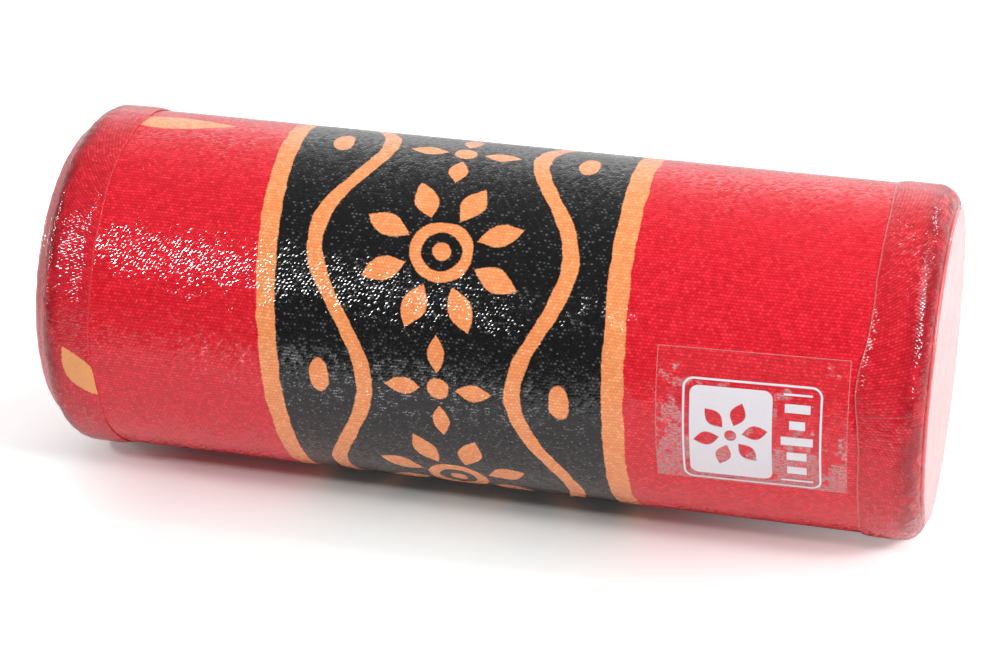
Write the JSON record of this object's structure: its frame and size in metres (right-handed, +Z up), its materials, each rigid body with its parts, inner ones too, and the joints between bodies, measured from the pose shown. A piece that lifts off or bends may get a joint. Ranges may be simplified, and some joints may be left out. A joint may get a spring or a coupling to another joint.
{
  "type": "percussion shaker",
  "caption": "Hand percussion shaker: a cloth-wrapped plastic tube closed by covered end caps, with loose shot inside that rolls and strikes the wall.",
  "frame": {"origin": "on the surface the shaker lies on, under the middle of its length and its axis", "axes": "+X along the tube, towards the end that carries the label; -Y towards the side with the label; +Z up"},
  "size_m": [0.2312, 0.0912, 0.0912],
  "materials": {
    "tube_plastic": "plain extruded tube",
    "cap_plastic": "moulded, satin",
    "printed_cloth": "woven cotton, printed, lacquered",
    "red_cloth": "woven cotton, lacquered",
    "clear_film": "clear, glossy",
    "steel_shot": "plain round shot"
  },
  "bodies": {
    "shaker": {"shell_tube": "tube_plastic", "end_cap_left": "cap_plastic", "end_cap_right": "cap_plastic", "body_cloth": "printed_cloth", "end_cover_left": "red_cloth", "end_cover_right": "red_cloth", "label_film": "clear_film"},
    "shot_01_ball": {"shot_01": "steel_shot"},
    "shot_02_ball": {"shot_02": "steel_shot"},
    "shot_03_ball": {"shot_03": "steel_shot"},
    "shot_04_ball": {"shot_04": "steel_shot"},
    "shot_05_ball": {"shot_05": "steel_shot"},
    "shot_06_ball": {"shot_06": "steel_shot"},
    "shot_07_ball": {"shot_07": "steel_shot"},
    "shot_08_ball": {"shot_08": "steel_shot"},
    "shot_09_ball": {"shot_09": "steel_shot"},
    "shot_10_ball": {"shot_10": "steel_shot"},
    "shot_11_ball": {"shot_11": "steel_shot"},
    "shot_12_ball": {"shot_12": "steel_shot"},
    "shot_13_ball": {"shot_13": "steel_shot"},
    "shot_14_ball": {"shot_14": "steel_shot"},
    "shot_15_ball": {"shot_15": "steel_shot"},
    "shot_16_ball": {"shot_16": "steel_shot"},
    "shot_17_ball": {"shot_17": "steel_shot"},
    "shot_18_ball": {"shot_18": "steel_shot"},
    "shot_19_ball": {"shot_19": "steel_shot"},
    "shot_20_ball": {"shot_20": "steel_shot"},
    "shot_21_ball": {"shot_21": "steel_shot"},
    "shot_22_ball": {"shot_22": "steel_shot"},
    "shot_23_ball": {"shot_23": "steel_shot"},
    "shot_24_ball": {"shot_24": "steel_shot"},
    "shot_25_ball": {"shot_25": "steel_shot"},
    "shot_26_ball": {"shot_26": "steel_shot"},
    "shot_27_ball": {"shot_27": "steel_shot"},
    "shot_28_ball": {"shot_28": "steel_shot"},
    "shot_29_ball": {"shot_29": "steel_shot"},
    "shot_30_ball": {"shot_30": "steel_shot"},
    "shot_31_ball": {"shot_31": "steel_shot"},
    "shot_32_ball": {"shot_32": "steel_shot"},
    "shot_33_ball": {"shot_33": "steel_shot"},
    "shot_34_ball": {"shot_34": "steel_shot"}
  },
  "joints": [
    {"name": "shot_01_roll", "type": "hinge", "parent": "shaker", "child": "shot_01_ball", "pos_m": [-0.08995, 0, 0.04561], "axis": [1, 0, 0], "continuous": true},
    {"name": "shot_02_roll", "type": "hinge", "parent": "shaker", "child": "shot_02_ball", "pos_m": [-0.08445, 0, 0.04561], "axis": [1, 0, 0], "continuous": true},
    {"name": "shot_03_roll", "type": "hinge", "parent": "shaker", "child": "shot_03_ball", "pos_m": [-0.07895, 0, 0.04561], "axis": [1, 0, 0], "continuous": true},
    {"name": "shot_04_roll", "type": "hinge", "parent": "shaker", "child": "shot_04_ball", "pos_m": [-0.07345, 0, 0.04561], "axis": [1, 0, 0], "continuous": true},
    {"name": "shot_05_roll", "type": "hinge", "parent": "shaker", "child": "shot_05_ball", "pos_m": [-0.06795, 0, 0.04561], "axis": [1, 0, 0], "continuous": true},
    {"name": "shot_06_roll", "type": "hinge", "parent": "shaker", "child": "shot_06_ball", "pos_m": [-0.06245, 0, 0.04561], "axis": [1, 0, 0], "continuous": true},
    {"name": "shot_07_roll", "type": "hinge", "parent": "shaker", "child": "shot_07_ball", "pos_m": [-0.05695, 0, 0.04561], "axis": [1, 0, 0], "continuous": true},
    {"name": "shot_08_roll", "type": "hinge", "parent": "shaker", "child": "shot_08_ball", "pos_m": [-0.05145, 0, 0.04561], "axis": [1, 0, 0], "continuous": true},
    {"name": "shot_09_roll", "type": "hinge", "parent": "shaker", "child": "shot_09_ball", "pos_m": [-0.04595, 0, 0.04561], "axis": [1, 0, 0], "continuous": true},
    {"name": "shot_10_roll", "type": "hinge", "parent": "shaker", "child": "shot_10_ball", "pos_m": [-0.04045, 0, 0.04561], "axis": [1, 0, 0], "continuous": true},
    {"name": "shot_11_roll", "type": "hinge", "parent": "shaker", "child": "shot_11_ball", "pos_m": [-0.03495, 0, 0.04561], "axis": [1, 0, 0], "continuous": true},
    {"name": "shot_12_roll", "type": "hinge", "parent": "shaker", "child": "shot_12_ball", "pos_m": [-0.02945, 0, 0.04561], "axis": [1, 0, 0], "continuous": true},
    {"name": "shot_13_roll", "type": "hinge", "parent": "shaker", "child": "shot_13_ball", "pos_m": [-0.02395, 0, 0.04561], "axis": [1, 0, 0], "continuous": true},
    {"name": "shot_14_roll", "type": "hinge", "parent": "shaker", "child": "shot_14_ball", "pos_m": [-0.01845, 0, 0.04561], "axis": [1, 0, 0], "continuous": true},
    {"name": "shot_15_roll", "type": "hinge", "parent": "shaker", "child": "shot_15_ball", "pos_m": [-0.01295, 0, 0.04561], "axis": [1, 0, 0], "continuous": true},
    {"name": "shot_16_roll", "type": "hinge", "parent": "shaker", "child": "shot_16_ball", "pos_m": [-0.00745, 0, 0.04561], "axis": [1, 0, 0], "continuous": true},
    {"name": "shot_17_roll", "type": "hinge", "parent": "shaker", "child": "shot_17_ball", "pos_m": [-0.00195, 0, 0.04561], "axis": [1, 0, 0], "continuous": true},
    {"name": "shot_18_roll", "type": "hinge", "parent": "shaker", "child": "shot_18_ball", "pos_m": [0.00355, 0, 0.04561], "axis": [1, 0, 0], "continuous": true},
    {"name": "shot_19_roll", "type": "hinge", "parent": "shaker", "child": "shot_19_ball", "pos_m": [0.00905, 0, 0.04561], "axis": [1, 0, 0], "continuous": true},
    {"name": "shot_20_roll", "type": "hinge", "parent": "shaker", "child": "shot_20_ball", "pos_m": [0.01455, 0, 0.04561], "axis": [1, 0, 0], "continuous": true},
    {"name": "shot_21_roll", "type": "hinge", "parent": "shaker", "child": "shot_21_ball", "pos_m": [0.02005, 0, 0.04561], "axis": [1, 0, 0], "continuous": true},
    {"name": "shot_22_roll", "type": "hinge", "parent": "shaker", "child": "shot_22_ball", "pos_m": [0.02555, 0, 0.04561], "axis": [1, 0, 0], "continuous": true},
    {"name": "shot_23_roll", "type": "hinge", "parent": "shaker", "child": "shot_23_ball", "pos_m": [0.03105, 0, 0.04561], "axis": [1, 0, 0], "continuous": true},
    {"name": "shot_24_roll", "type": "hinge", "parent": "shaker", "child": "shot_24_ball", "pos_m": [0.03655, 0, 0.04561], "axis": [1, 0, 0], "continuous": true},
    {"name": "shot_25_roll", "type": "hinge", "parent": "shaker", "child": "shot_25_ball", "pos_m": [0.04205, 0, 0.04561], "axis": [1, 0, 0], "continuous": true},
    {"name": "shot_26_roll", "type": "hinge", "parent": "shaker", "child": "shot_26_ball", "pos_m": [0.04755, 0, 0.04561], "axis": [1, 0, 0], "continuous": true},
    {"name": "shot_27_roll", "type": "hinge", "parent": "shaker", "child": "shot_27_ball", "pos_m": [0.05305, 0, 0.04561], "axis": [1, 0, 0], "continuous": true},
    {"name": "shot_28_roll", "type": "hinge", "parent": "shaker", "child": "shot_28_ball", "pos_m": [0.05855, 0, 0.04561], "axis": [1, 0, 0], "continuous": true},
    {"name": "shot_29_roll", "type": "hinge", "parent": "shaker", "child": "shot_29_ball", "pos_m": [0.06405, 0, 0.04561], "axis": [1, 0, 0], "continuous": true},
    {"name": "shot_30_roll", "type": "hinge", "parent": "shaker", "child": "shot_30_ball", "pos_m": [0.06955, 0, 0.04561], "axis": [1, 0, 0], "continuous": true},
    {"name": "shot_31_roll", "type": "hinge", "parent": "shaker", "child": "shot_31_ball", "pos_m": [0.07505, 0, 0.04561], "axis": [1, 0, 0], "continuous": true},
    {"name": "shot_32_roll", "type": "hinge", "parent": "shaker", "child": "shot_32_ball", "pos_m": [0.08055, 0, 0.04561], "axis": [1, 0, 0], "continuous": true},
    {"name": "shot_33_roll", "type": "hinge", "parent": "shaker", "child": "shot_33_ball", "pos_m": [0.08605, 0, 0.04561], "axis": [1, 0, 0], "continuous": true},
    {"name": "shot_34_roll", "type": "hinge", "parent": "shaker", "child": "shot_34_ball", "pos_m": [0.09155, 0, 0.04561], "axis": [1, 0, 0], "continuous": true}
  ]
}
